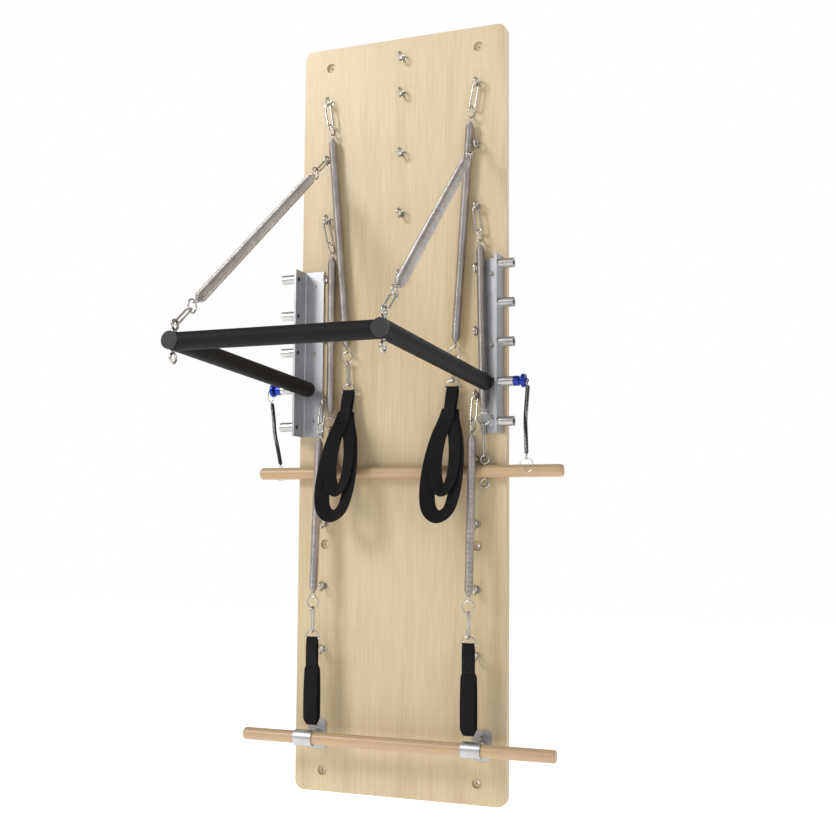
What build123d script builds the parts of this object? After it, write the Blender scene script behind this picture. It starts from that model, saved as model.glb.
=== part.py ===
from build123d import *
from math import cos, pi, radians, sin, tan
import os

# Wall-mounted Pilates spring board with a push-through bar, a roll-down bar and a foot bar.
# Millimetres. Origin at the centre of the board's back face, +Z up, +Y into the wall, +X to the
# right as seen from the front.

# Board
BOARD_WIDTH = 585
BOARD_HEIGHT = 2000
BOARD_THICK = 20
BOARD_CORNER = 25
FIXING_X = 214
FIXING_END_Z = 946.5
FIXING_MID_Z = -358.5
FIXING_BORE = 8
FIXING_SINK = 26
FIXING_SINK_DEPTH = 8

# Eyebolts through the board
EYE_X = 214.5
EYE_TOP_Z = 845
EYE_STEP = 164.2
EYE_COUNT = 10
EYE_CENTRE_TOP_Z = 943.7
EYE_CENTRE_COUNT = 4
EYE_RADIUS = 11
EYE_WIRE = 6
EYE_OFFSET = 18
EYE_SHANK = 6
EYE_COLLAR = 11
WASHER_RADIUS = 9
WASHER_THICK = 1.6
NUT_FLATS = 10
NUT_THICK = 5
NUT_POCKET = 9
NUT_POCKET_DEPTH = 8

# Brackets and their bushes
BRACKET_FACE_X = 286
BRACKET_WALL = 6
BRACKET_DEPTH = 62
BRACKET_FOOT = 61
BRACKET_HEIGHT = 450
BRACKET_Z = 152
BRACKET_FILLET = 4
BUSH_STEP = 100
BUSH_COUNT = 5
BUSH_Y = -66
BUSH_RADIUS = 12.5
BUSH_SPIGOT = 8.5
BUSH_LENGTH = 40
PIVOT_INDEX = 3
BRACKET_SCREW_X = 253
BRACKET_SCREW_STEP = 185
SCREW_HEAD = 6.5
SCREW_HEAD_THICK = 3.4
SCREW_SHANK = 2.5
SCREW_LENGTH = 15

# Push-through bar
ARM_X = 250
ARM_LENGTH = 640
ARM_RISE = 3.2
TUBE_RADIUS = 16
TUBE_BORE = 14
SLEEVE_RADIUS = 20.5
BAR_EYE_HEIGHT = 37.4
CAP_THICK = 3
CAP_PLUG = 14
PIVOT_FLANGE = 11
PIVOT_INSET = 12

# Detent pins and lanyards
PIN_RADIUS = 6
PIN_TIP_X = 263
KNOB_RADIUS = 13
KNOB_LENGTH = 14
KNOB_NECK = 9
KNOB_NECK_LENGTH = 6
KNOB_DISC = 17.5
KNOB_DISC_THICK = 10
KNOB_BORE_DEPTH = 18
PIN_CHAMFER = 1.5
KNOB_ROUND = 2
DISC_ROUND = 3
LANYARD_RADIUS = 6
TAB_RADIUS = 4
TAB_WIRE = 1.6
TAB_OUT = 3
LANYARD_LINK = 1.2
CLIP_RING_RADIUS = 17
CLIP_RING_WIRE = 2
CLIP_LINK_RADIUS = 6

# Spring hardware: snap hooks, rings, springs, D-rings
HOOK_WIRE = 5
HOOK_RADIUS = 7.5
HOOK_LENGTH = 66
ROLL_HOOK_LENGTH = 88
GATE_WIRE = 4
GATE_TOP = 16
GATE_TAIL = 20
RING_RADIUS = 15.5
RING_WIRE = 4
COIL_RADIUS = 10.5
COIL_WIRE = 3
COIL_NECK = 4.5
COIL_TAPER = 18
LOOP_RADIUS = 7
ARM_COIL = 580
FOOT_COIL = 404
ARM_TOP_LEAN = 10
ARM_LEAN_LEFT = 5.0
ARM_LEAN_RIGHT = 3.8
ARM_END_LEAN = -2
ROLL_LEAN_LEFT = 13.2
ROLL_LEAN_RIGHT = 8.6
FOOT_TOP_LEAN = 13.5
FOOT_COIL_LEAN = 3.4
D_RING_WIDTH = 38
D_RING_DROP = 20
D_RING_WIRE = 4

# Straps
STRAP_WIDTH = 32
STRAP_THICK = 4
STRAP_EYE = 4.6
HAND_TAB = 58
HAND_LEAN = 13
HAND_LOOP_WIDTH = 101
HAND_LOOP_LENGTH = 300
HAND_LOOP_THICK = 7
HAND_LOOP_DEPTH = 34
HAND_ROOT = 12
FOOT_TAB = 62
FOOT_PAD_LENGTH = 160
FOOT_PAD_WIDTH = 40
FOOT_PAD_DEPTH = 26
FOOT_PAD_THICK = 7

# Wooden bars
DOWEL_RADIUS = 16
DOWEL_LENGTH = 842
DOWEL_ROUND = 5
ROLL_Z = -171
ROLL_SHIFT = 23
ROLL_EYE_X = 217
ROLL_EYE_RISE = 14
FOOT_BAR_SHIFT = 18
FOOT_BAR_Y = -95
FOOT_BAR_Z = -852.7
CLAMP_X = 228
CLAMP_LENGTH = 50
CLAMP_WALL = 4.5
CLAMP_PLATE_WIDTH = 50
CLAMP_PLATE_HEIGHT = 74
CLAMP_PLATE_THICK = 5
CLAMP_NECK = 15
CLAMP_SCREW_SPAN = 52
CLAMP_CORNER = 10

# Clearances
LINK_GAP = 0.5
RUN_GAP = 0.05
SEAT_GAP = 0.1
CUT_PAST = 1
SHANK_PAST_NUT = 1
COLLAR_THICK = 2
HEAD_TAPER = 20
TANGENT_SHARE = 0.45

FRONT = -BOARD_THICK
EYE_Y = FRONT - EYE_OFFSET
PIVOT_Z = BRACKET_Z + BUSH_STEP * (BUSH_COUNT - 1) / 2 - BUSH_STEP * PIVOT_INDEX
BUSH_END_X = BRACKET_FACE_X + BUSH_LENGTH
BAR_FORWARD = Vector(0, -cos(radians(ARM_RISE)), sin(radians(ARM_RISE)))
BAR_UP = Vector(0, sin(radians(ARM_RISE)), cos(radians(ARM_RISE)))
SIDES = {"left": -1, "right": 1}

# A chain of links, measured from one wire centre to the next along its own line
CREST_ABOVE_SEAT = EYE_WIRE / 2 + LINK_GAP + HOOK_WIRE / 2
RING_IN_HOOK = HOOK_WIRE / 2 + LINK_GAP + RING_WIRE / 2
LOOP_IN_RING = LOOP_RADIUS - (COIL_WIRE / 2 + LINK_GAP + RING_WIRE / 2)
D_RING_IN_HOOK = HOOK_WIRE / 2 + LINK_GAP + D_RING_WIRE / 2
HOOK_AND_RING = HOOK_LENGTH - RING_IN_HOOK + 2 * RING_RADIUS
LINKS = HOOK_AND_RING + LOOP_IN_RING + LOOP_RADIUS - CREST_ABOVE_SEAT

os.makedirs("parts", exist_ok=True)


def save(piece, label):
    piece.part.label = label
    export_step(piece.part, f"parts/{label}.step")


def eye_z(row):
    return EYE_TOP_Z - EYE_STEP * row


def bush_z(row):
    return BRACKET_Z + BUSH_STEP * ((BUSH_COUNT - 1) / 2 - row)


def direction(lean_x=0, lean_out=0):
    """Unit vector hanging down, leaning by degrees to +X and away from the wall."""
    hang = Vector(tan(radians(lean_x)), -tan(radians(lean_out)), -1)
    return hang.normalized()


def across(down):
    """Unit vector square to a hanging line, in the plane of the line and +X."""
    return (Vector(1, 0, 0) - down * down.X).normalized()


def outward(down):
    """Unit vector square to a hanging line and to the one across it, away from the wall."""
    return across(down).cross(down * -1)


def flat_plane(origin, down, wide):
    """Plane whose x runs along wide and whose y runs back up the line."""
    return Plane(origin=origin, x_dir=wide, z_dir=wide.cross(down * -1))


def add_eye(centre, axis_dir, up_dir):
    """Round eye, with its hole along axis_dir."""
    with Locations(Plane(origin=centre, x_dir=up_dir, z_dir=axis_dir)):
        Torus(EYE_RADIUS, EYE_WIRE / 2)


def add_rod(start, end, radius):
    """Straight round bar from start to end."""
    line = end - start
    with BuildSketch(Plane(origin=start, z_dir=line)) as section:
        Circle(radius)
    extrude(section.sketch, amount=line.length)


def add_ring(centre, down, wide, radius, wire):
    """Round ring in the plane of down and wide."""
    with Locations(flat_plane(centre, down, wide)):
        Torus(radius, wire / 2)


def add_hook(crest, down, wide, length=HOOK_LENGTH):
    """Snap hook from its crest: a bent wire body, open on one side, and the gate that closes it."""
    plane = flat_plane(crest, down, wide)
    low = -length + HOOK_RADIUS
    gate_end = -length + GATE_TAIL
    with BuildLine(plane) as body:
        Line((HOOK_RADIUS, gate_end), (HOOK_RADIUS, low))
        ThreePointArc((HOOK_RADIUS, low), (0, -length), (-HOOK_RADIUS, low))
        Line((-HOOK_RADIUS, low), (-HOOK_RADIUS, -HOOK_RADIUS))
        ThreePointArc((-HOOK_RADIUS, -HOOK_RADIUS), (0, 0), (HOOK_RADIUS, -HOOK_RADIUS))
        Line((HOOK_RADIUS, -HOOK_RADIUS), (HOOK_RADIUS, -GATE_TOP))
    start = plane.from_local_coords(Vector(HOOK_RADIUS, gate_end, 0))
    with BuildSketch(Plane(origin=start, z_dir=down)) as section:
        Circle(HOOK_WIRE / 2)
    sweep(section.sketch, path=body.wires()[0])
    gate_top = plane.from_local_coords(Vector(HOOK_RADIUS, -GATE_TOP - LINK_GAP, 0))
    gate_bottom = plane.from_local_coords(Vector(HOOK_RADIUS, gate_end + LINK_GAP, 0))
    add_rod(gate_top, gate_bottom, GATE_WIRE / 2)


def add_spring(start, down, length, top_wide, bottom_wide):
    """Closed-coil extension spring from neck to neck, with a loop at each end."""
    wide = across(down)
    plane = flat_plane(start, down, wide)
    inner = COIL_RADIUS - COIL_WIRE
    inner_neck = COIL_NECK - COIL_WIRE
    with BuildSketch(plane) as section:
        with BuildLine():
            Polyline(
                (inner_neck, 0),
                (COIL_NECK, 0),
                (COIL_RADIUS, -COIL_TAPER),
                (COIL_RADIUS, -length + COIL_TAPER),
                (COIL_NECK, -length),
                (inner_neck, -length),
                (inner, -length + COIL_TAPER),
                (inner, -COIL_TAPER),
                (inner_neck, 0),
            )
        make_face()
    revolve(section.sketch, axis=Axis(start, down))
    sink = COIL_WIRE / 4
    add_rod(start - down * sink, start + down * COIL_WIRE, COIL_NECK - SEAT_GAP)
    add_rod(start + down * (length - COIL_WIRE), start + down * (length + sink), COIL_NECK - SEAT_GAP)
    add_ring(start - down * LOOP_RADIUS, down, top_wide, LOOP_RADIUS, COIL_WIRE)
    add_ring(start + down * (length + LOOP_RADIUS), down, bottom_wide, LOOP_RADIUS, COIL_WIRE)


def add_d_ring(top, down, wide):
    """D-shaped ring: a bow above and a straight bar at the strap."""
    half = D_RING_WIDTH / 2
    plane = flat_plane(top, down, wide)
    with BuildLine(plane) as bow:
        ThreePointArc((-half, -D_RING_DROP), (0, 0), (half, -D_RING_DROP))
    tangent = bow.wires()[0] % 0
    with BuildSketch(Plane(origin=bow.wires()[0] @ 0, z_dir=tangent)) as section:
        Circle(D_RING_WIRE / 2)
    sweep(section.sketch, path=bow.wires()[0])
    left = plane.from_local_coords(Vector(-half, -D_RING_DROP, 0))
    right = plane.from_local_coords(Vector(half, -D_RING_DROP, 0))
    add_rod(left, right, D_RING_WIRE / 2)
    with Locations(left, right):
        Sphere(D_RING_WIRE / 2)


def eye_seat(eye, pull):
    """Centre of an upright eye's wire where a hook pulls on it."""
    return eye + Vector(0, pull.Y, pull.Z).normalized() * EYE_RADIUS


class Chain:
    """Places of the links from an eye's wire down to whatever the lower hook holds."""

    def __init__(self, seat, hook_down, coil_down, link_down, coil_length, low_hook=HOOK_LENGTH):
        self.hook_down, self.coil_down, self.link_down = hook_down, coil_down, link_down
        self.coil_length, self.low_hook = coil_length, low_hook
        self.top_crest = seat - hook_down * CREST_ABOVE_SEAT
        self.top_ring = self.top_crest + hook_down * (HOOK_LENGTH - RING_IN_HOOK + RING_RADIUS)
        ring_low = self.top_ring + hook_down * RING_RADIUS
        self.neck = ring_low + coil_down * (LOOP_IN_RING + LOOP_RADIUS)
        self.neck_end = self.neck + coil_down * coil_length
        low_wire = self.neck_end + coil_down * (LOOP_RADIUS + LOOP_IN_RING)
        self.low_ring = low_wire + link_down * RING_RADIUS
        self.low_crest = self.low_ring + link_down * (RING_RADIUS - RING_IN_HOOK)
        self.low_hook_end = self.low_crest + link_down * low_hook


# Where each spring hangs
bar_centre = Vector(0, BUSH_Y, PIVOT_Z)
bar_eye_from_pivot = BAR_FORWARD * ARM_LENGTH + BAR_UP * BAR_EYE_HEIGHT
bar_chains = {}
arm_chains = {}
foot_chains = {}
roll_chains = {}
d_rings = {}
for side, sign in SIDES.items():
    arm_eye = Vector(sign * EYE_X, EYE_Y, eye_z(0))
    arm_top_down = direction(-sign * ARM_TOP_LEAN)
    arm_down = direction(-sign * (ARM_LEAN_LEFT if sign < 0 else ARM_LEAN_RIGHT))
    arm_seat = eye_seat(arm_eye, arm_top_down)
    arm_chains[side] = Chain(arm_seat, arm_top_down, arm_down, arm_down, ARM_COIL)

    bar_top = Vector(sign * EYE_X, EYE_Y, eye_z(1))
    bar_low = bar_centre + bar_eye_from_pivot + Vector(sign * ARM_X, 0, 0)
    pull = (bar_low - bar_top).normalized()
    bar_line = eye_seat(bar_low, pull * -1) - eye_seat(bar_top, pull)
    bar_down = bar_line.normalized()
    bar_coil = bar_line.length - 2 * LINKS
    bar_chains[side] = Chain(eye_seat(bar_top, pull), bar_down, bar_down, bar_down, bar_coil)

    roll_eye = Vector(sign * EYE_X, EYE_Y, eye_z(2))
    roll_top_down = direction(ROLL_LEAN_LEFT if sign < 0 else ROLL_LEAN_RIGHT)
    roll_seat = eye_seat(roll_eye, roll_top_down)
    ring_low = roll_seat + roll_top_down * (HOOK_AND_RING - CREST_ABOVE_SEAT)
    roll_hold = Vector(ROLL_SHIFT + sign * ROLL_EYE_X, EYE_Y, ROLL_Z + DOWEL_RADIUS + ROLL_EYE_RISE)
    roll_pull = (roll_hold - ring_low).normalized()
    roll_line = roll_hold - roll_pull * EYE_RADIUS - ring_low
    roll_down = roll_line.normalized()
    low_links = HOOK_AND_RING + ROLL_HOOK_LENGTH - HOOK_LENGTH - CREST_ABOVE_SEAT
    roll_coil = roll_line.length - low_links - 2 * (LOOP_IN_RING + LOOP_RADIUS)
    roll_chains[side] = Chain(roll_seat, roll_top_down, roll_down, roll_down, roll_coil, ROLL_HOOK_LENGTH)

    foot_eye = Vector(sign * EYE_X, EYE_Y, eye_z(5))
    foot_top = direction(0, FOOT_TOP_LEAN)
    foot_coil_down = direction(0, FOOT_COIL_LEAN)
    foot_seat = eye_seat(foot_eye, foot_top)
    foot_chains[side] = Chain(foot_seat, foot_top, foot_coil_down, direction(), FOOT_COIL)

    for name, chain, end_down in (
        ("hand", arm_chains[side], direction(ARM_END_LEAN)),
        ("foot", foot_chains[side], direction()),
    ):
        d_rings[name, side] = (chain.low_hook_end - chain.link_down * D_RING_IN_HOOK, end_down)

board_eyes = [(sign * EYE_X, eye_z(row)) for sign in SIDES.values() for row in range(EYE_COUNT)]
board_eyes += [(0, EYE_CENTRE_TOP_Z)] + [(0, eye_z(row)) for row in range(EYE_CENTRE_COUNT)]
clamp_screws_at = [
    (sign * CLAMP_X, FOOT_BAR_Z + end * CLAMP_SCREW_SPAN / 2) for sign in SIDES.values() for end in (-1, 1)
]
bracket_screws_at = [
    (sign * BRACKET_SCREW_X, BRACKET_Z + step * BRACKET_SCREW_STEP)
    for sign in SIDES.values()
    for step in (-1, 0, 1)
]
fixing_rows = (FIXING_END_Z, FIXING_MID_Z, -FIXING_END_Z)
fixing_at = [(sign * FIXING_X, z) for sign in SIDES.values() for z in fixing_rows]


def front_plane(y=FRONT):
    """Plane facing away from the wall, with x along +X and y along +Z."""
    return Plane(origin=(0, y, 0), x_dir=(1, 0, 0), z_dir=(0, -1, 0))


# ---- board ----
with BuildPart() as board:
    with BuildSketch(front_plane(0)):
        RectangleRounded(BOARD_WIDTH, BOARD_HEIGHT, BOARD_CORNER)
    extrude(amount=BOARD_THICK)
    with Locations(front_plane()):
        with Locations(*fixing_at):
            CounterBoreHole(FIXING_BORE / 2, FIXING_SINK / 2, FIXING_SINK_DEPTH)
        with Locations(*board_eyes):
            Hole(EYE_SHANK / 2 + SEAT_GAP)
    with BuildSketch(front_plane(0)):
        with Locations(*board_eyes):
            Circle(NUT_POCKET)
    extrude(amount=NUT_POCKET_DEPTH, mode=Mode.SUBTRACT)
    with BuildSketch(front_plane()):
        with Locations(*bracket_screws_at, *clamp_screws_at):
            Circle(SCREW_SHANK + RUN_GAP)
    extrude(amount=-(SCREW_LENGTH - CLAMP_PLATE_THICK + SEAT_GAP), mode=Mode.SUBTRACT)
save(board, "board")

# ---- eyebolts, washers and nuts ----
shank_end = -NUT_POCKET_DEPTH + NUT_THICK + SHANK_PAST_NUT
with BuildPart() as board_eyebolts:
    for x, z in board_eyes:
        add_eye(Vector(x, EYE_Y, z), Vector(1, 0, 0), Vector(0, -1, 0))
        add_rod(Vector(x, EYE_Y + EYE_RADIUS, z), Vector(x, shank_end, z), EYE_SHANK / 2)
save(board_eyebolts, "board_eyebolts")

with BuildPart() as eyebolt_washers:
    with BuildSketch(front_plane()):
        with Locations(*board_eyes):
            Circle(WASHER_RADIUS)
            Circle(EYE_SHANK / 2 + SEAT_GAP, mode=Mode.SUBTRACT)
    extrude(amount=WASHER_THICK)
save(eyebolt_washers, "eyebolt_washers")

with BuildPart() as eyebolt_nuts:
    with BuildSketch(front_plane(-NUT_POCKET_DEPTH)):
        with Locations(*board_eyes):
            RegularPolygon(NUT_FLATS / 2, 6, major_radius=False)
            Circle(EYE_SHANK / 2 + RUN_GAP, mode=Mode.SUBTRACT)
    extrude(amount=-NUT_THICK)
save(eyebolt_nuts, "eyebolt_nuts")

# ---- brackets ----
for side, sign in SIDES.items():
    face, root = sign * BRACKET_FACE_X, sign * (BRACKET_FACE_X - BRACKET_WALL)
    with BuildPart() as bracket:
        with BuildSketch(Plane.XY.offset(BRACKET_Z - BRACKET_HEIGHT / 2)):
            with BuildLine():
                Polyline(
                    (face, FRONT),
                    (face, FRONT - BRACKET_DEPTH),
                    (root, FRONT - BRACKET_DEPTH),
                    (root, FRONT - BRACKET_WALL),
                    (face - sign * BRACKET_FOOT, FRONT - BRACKET_WALL),
                    (face - sign * BRACKET_FOOT, FRONT),
                    (face, FRONT),
                )
            make_face()
        extrude(amount=BRACKET_HEIGHT)
        inside = (root, FRONT - BRACKET_WALL, BRACKET_Z)
        inner = bracket.edges().filter_by(Axis.Z).sort_by_distance(inside)[0]
        fillet(inner, BRACKET_FILLET)
        with BuildSketch(Plane.YZ.offset(face)):
            with Locations(*[(BUSH_Y, bush_z(row)) for row in range(BUSH_COUNT)]):
                Circle(BUSH_SPIGOT + RUN_GAP)
        extrude(amount=-sign * BRACKET_WALL, mode=Mode.SUBTRACT)
        with BuildSketch(front_plane()):
            with Locations(*[at for at in bracket_screws_at if at[0] * sign > 0]):
                Circle(SCREW_SHANK + RUN_GAP)
        extrude(amount=BRACKET_WALL, mode=Mode.SUBTRACT)
    save(bracket, f"bracket_{side}")

with BuildPart() as bracket_screws:
    with BuildSketch(front_plane(FRONT - BRACKET_WALL)):
        with Locations(*bracket_screws_at):
            Circle(SCREW_SHANK)
    extrude(amount=-SCREW_LENGTH)
    with BuildSketch(front_plane(FRONT - BRACKET_WALL)):
        with Locations(*bracket_screws_at):
            Circle(SCREW_HEAD)
    extrude(amount=SCREW_HEAD_THICK, taper=HEAD_TAPER)
save(bracket_screws, "bracket_screws")

with BuildPart() as pin_bushes:
    for sign in SIDES.values():
        rows = [(BUSH_Y, bush_z(row)) for row in range(BUSH_COUNT)]
        with BuildSketch(Plane.YZ.offset(sign * BRACKET_FACE_X)):
            with Locations(*rows):
                Circle(BUSH_RADIUS)
        extrude(amount=sign * BUSH_LENGTH)
        with BuildSketch(Plane.YZ.offset(sign * BRACKET_FACE_X)):
            with Locations(*rows):
                Circle(BUSH_SPIGOT)
        extrude(amount=-sign * BRACKET_WALL)
        with BuildSketch(Plane.YZ.offset(sign * BUSH_END_X)):
            with Locations(*rows):
                Circle(PIN_RADIUS + RUN_GAP)
        extrude(amount=-sign * (BUSH_LENGTH + BRACKET_WALL), mode=Mode.SUBTRACT)
save(pin_bushes, "pin_bushes")

# ---- push-through bar ----
pivots = [Vector(sign * ARM_X, BUSH_Y, PIVOT_Z) for sign in SIDES.values()]
corners = [at + BAR_FORWARD * ARM_LENGTH for at in pivots]
arm_front = ARM_LENGTH + SLEEVE_RADIUS - CAP_THICK
with BuildPart() as push_bar_tube:
    for pivot in pivots:
        add_rod(pivot - BAR_FORWARD * PIVOT_INSET, pivot + BAR_FORWARD * arm_front, TUBE_RADIUS)
    add_rod(corners[0], corners[1], TUBE_RADIUS)
    with BuildSketch(Plane(origin=corners[0], z_dir=(1, 0, 0))):
        Circle(TUBE_BORE)
    extrude(amount=2 * ARM_X, mode=Mode.SUBTRACT)
    for pivot in pivots:
        with BuildSketch(Plane(origin=pivot - BAR_FORWARD * PIVOT_INSET, z_dir=BAR_FORWARD)):
            Circle(TUBE_BORE)
        extrude(amount=PIVOT_INSET + arm_front, mode=Mode.SUBTRACT)
    for sign, pivot in zip(SIDES.values(), pivots):
        with BuildSketch(Plane(origin=pivot, z_dir=(sign, 0, 0))):
            Circle(BUSH_SPIGOT + RUN_GAP)
        extrude(amount=SLEEVE_RADIUS, mode=Mode.SUBTRACT)
    for corner in corners:
        with BuildSketch(Plane(origin=corner - BAR_UP * SLEEVE_RADIUS, z_dir=BAR_UP)):
            Circle(EYE_SHANK / 2 + RUN_GAP)
        extrude(amount=2 * SLEEVE_RADIUS, mode=Mode.SUBTRACT)
save(push_bar_tube, "push_bar_tube")

with BuildPart() as push_bar_sleeves:
    add_rod(corners[0], corners[1], SLEEVE_RADIUS)
    for pivot in pivots:
        with BuildSketch(Plane(origin=pivot, z_dir=BAR_FORWARD)):
            Circle(SLEEVE_RADIUS + SEAT_GAP)
        extrude(amount=arm_front + CAP_THICK + CUT_PAST, mode=Mode.SUBTRACT)
    for pivot in pivots:
        add_rod(pivot, pivot + BAR_FORWARD * arm_front, SLEEVE_RADIUS)
        with Locations(pivot):
            Sphere(SLEEVE_RADIUS)
    with BuildSketch(Plane(origin=corners[0], z_dir=(1, 0, 0))):
        Circle(TUBE_RADIUS + RUN_GAP)
    extrude(amount=2 * ARM_X, mode=Mode.SUBTRACT)
    for pivot in pivots:
        with BuildSketch(Plane(origin=pivot - BAR_FORWARD * (PIVOT_INSET + SEAT_GAP), z_dir=BAR_FORWARD)):
            Circle(TUBE_RADIUS + RUN_GAP)
        extrude(amount=PIVOT_INSET + arm_front + CUT_PAST, mode=Mode.SUBTRACT)
    for sign, pivot in zip(SIDES.values(), pivots):
        with BuildSketch(Plane(origin=pivot, z_dir=(sign, 0, 0))):
            Circle(BUSH_SPIGOT + RUN_GAP)
        extrude(amount=SLEEVE_RADIUS + CUT_PAST, mode=Mode.SUBTRACT)
    for corner in corners:
        with BuildSketch(Plane(origin=corner - BAR_UP * (SLEEVE_RADIUS + CUT_PAST), z_dir=BAR_UP)):
            Circle(EYE_SHANK / 2 + RUN_GAP)
        extrude(amount=2 * (SLEEVE_RADIUS + CUT_PAST), mode=Mode.SUBTRACT)
save(push_bar_sleeves, "push_bar_sleeves")

with BuildPart() as push_bar_end_caps:
    for pivot in pivots:
        rim = pivot + BAR_FORWARD * (arm_front + SEAT_GAP)
        add_rod(rim, rim + BAR_FORWARD * CAP_THICK, SLEEVE_RADIUS)
        add_rod(rim - BAR_FORWARD * CAP_PLUG, rim, TUBE_BORE - RUN_GAP)
save(push_bar_end_caps, "push_bar_end_caps")

with BuildPart() as push_bar_bushes:
    flange_out = BRACKET_FACE_X - BRACKET_WALL - LINK_GAP * 2
    for sign, pivot in zip(SIDES.values(), pivots):
        outer = Vector(sign * flange_out, pivot.Y, pivot.Z)
        skin = Vector(sign * (ARM_X + SLEEVE_RADIUS + SEAT_GAP), pivot.Y, pivot.Z)
        add_rod(Vector(sign * (ARM_X + PIVOT_INSET), pivot.Y, pivot.Z), skin, BUSH_SPIGOT)
        add_rod(skin, outer, PIVOT_FLANGE)
        with BuildSketch(Plane(origin=pivot, z_dir=(sign, 0, 0))):
            Circle(PIN_RADIUS + RUN_GAP)
        extrude(amount=flange_out - ARM_X + CUT_PAST, mode=Mode.SUBTRACT)
save(push_bar_bushes, "push_bar_bushes")

with BuildPart() as push_bar_eyebolts:
    for corner in corners:
        for end in (-1, 1):
            centre = corner + BAR_UP * (end * BAR_EYE_HEIGHT)
            add_eye(centre, Vector(1, 0, 0), BAR_UP)
        seat = SLEEVE_RADIUS + LINK_GAP
        shank = BAR_UP * (BAR_EYE_HEIGHT - EYE_RADIUS)
        add_rod(corner - shank, corner + shank, EYE_SHANK / 2)
        add_rod(corner + BAR_UP * seat, corner + BAR_UP * (seat + COLLAR_THICK), EYE_COLLAR / 2)
        add_rod(corner - BAR_UP * (seat + COLLAR_THICK), corner - BAR_UP * seat, EYE_COLLAR / 2)
save(push_bar_eyebolts, "push_bar_eyebolts")

# ---- detent pins, knobs and lanyards ----
knob_start = BUSH_END_X + LINK_GAP
disc_start = knob_start + KNOB_LENGTH + KNOB_NECK_LENGTH
knob_end = disc_start + KNOB_DISC_THICK
tab_x = knob_end + TAB_OUT
# Points of each lanyard from the knob downwards, as offsets: across, away from the wall, up
LANYARD_ROUTES = {
    "left": [(1, 0, -32), (-1, -1, -72), (2, -2, -112), (-2, 1, -154), (2, 14, -196)],
    "right": [(4, -4, -12), (3, -11, -54), (1, -17, -97), (1, -12, -140), (-1, -1, -183)],
}
LANYARD_TILT = {"left": 0.26, "right": 0.0}


def lanyard_points(side):
    """Route of one lanyard in row coordinates, leaning to the wall by its tilt."""
    sign, tilt = SIDES[side], LANYARD_TILT[side]
    points = []
    for out, back, up in LANYARD_ROUTES[side]:
        points.append(Vector(sign * (tab_x + out), BUSH_Y + back - up * tilt, PIVOT_Z + up))
    return points


def tangent_radii(points):
    """Radius of each corner's arc: a share of the shorter run over the tangent of half the turn."""
    radii = []
    for before, at, after in zip(points, points[1:], points[2:]):
        run_in, run_out = at - before, after - at
        half_turn = radians(run_in.get_angle(run_out)) / 2
        radii.append(TANGENT_SHARE * min(run_in.length, run_out.length) / tan(half_turn))
    return radii


def on_pin(distance):
    """Point on the pins' axis, on the side being built."""
    return Vector(sign * distance, BUSH_Y, PIVOT_Z)


for side, sign in SIDES.items():
    with BuildPart() as detent_pin:
        add_rod(on_pin(PIN_TIP_X), on_pin(knob_start + KNOB_BORE_DEPTH), PIN_RADIUS)
        tip = detent_pin.edges().sort_by(Axis.X)[0 if sign > 0 else -1]
        chamfer(tip, PIN_CHAMFER)
    save(detent_pin, f"detent_pin_{side}")

    with BuildPart() as knob_disc:
        add_rod(on_pin(disc_start), on_pin(knob_end), KNOB_DISC)
        fillet(knob_disc.edges().filter_by(GeomType.CIRCLE), DISC_ROUND)

    with BuildPart() as pin_knob:
        add_rod(on_pin(knob_start), on_pin(knob_start + KNOB_LENGTH), KNOB_RADIUS)
        rims = pin_knob.edges().filter_by(GeomType.CIRCLE)
        fillet(rims, KNOB_ROUND)
        add_rod(on_pin(knob_start + KNOB_LENGTH), on_pin(disc_start), KNOB_NECK)
        add(knob_disc.part)
        with BuildSketch(Plane(origin=on_pin(knob_start), z_dir=(sign, 0, 0))):
            Circle(PIN_RADIUS + RUN_GAP)
        extrude(amount=KNOB_BORE_DEPTH, mode=Mode.SUBTRACT)
        with Locations(Plane(origin=on_pin(tab_x), x_dir=(1, 0, 0), z_dir=(0, 1, 0))):
            Torus(TAB_RADIUS, TAB_WIRE)
    save(pin_knob, f"pin_knob_{side}")

    points = lanyard_points(side)
    radii = tangent_radii(points)
    print(f"lanyard_{side} radii", [round(r) for r in radii])
    with BuildPart() as lanyard:
        with BuildLine() as route:
            FilletPolyline(*points, radius=radii)
        path = route.wires()[0]
        with BuildSketch(Plane(origin=path @ 0, z_dir=path % 0)):
            Circle(LANYARD_RADIUS)
        sweep(path=path)
    share = lanyard.part.volume / (path.length * pi * LANYARD_RADIUS**2)
    print(f"lanyard_{side} length {path.length:.1f} volume share {share:.4f}")
    save(lanyard, f"lanyard_{side}")

    bottom, heading = points[-1], (points[-1] - points[-2]).normalized()
    with BuildPart() as lanyard_clip:
        link_top = points[0] + Vector(0, 0, LANYARD_LINK + SEAT_GAP)
        tab_low = on_pin(tab_x) - Vector(0, 0, TAB_RADIUS)
        loop_down = Vector(0, 0, -1)
        room = TAB_WIRE + 2 * LANYARD_LINK + LINK_GAP
        loop_radius = (tab_low.Z - link_top.Z + room) / 2
        loop_centre = Vector(tab_low.X, tab_low.Y, link_top.Z + loop_radius)
        add_ring(loop_centre, loop_down, Vector(0, 1, 0), loop_radius, 2 * LANYARD_LINK)
        link_centre = bottom + heading * (CLIP_LINK_RADIUS + LANYARD_LINK + SEAT_GAP)
        add_ring(link_centre, loop_down, Vector(0, 1, 0), CLIP_LINK_RADIUS, 2 * LANYARD_LINK)
        ring_drop = CLIP_LINK_RADIUS - LANYARD_LINK - LINK_GAP - CLIP_RING_WIRE / 2
        ring_top = link_centre + loop_down * ring_drop
        ring_centre = ring_top + loop_down * CLIP_RING_RADIUS
        add_ring(ring_centre, loop_down, Vector(1, 0, 0), CLIP_RING_RADIUS, CLIP_RING_WIRE)
    save(lanyard_clip, f"lanyard_clip_{side}")

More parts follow.
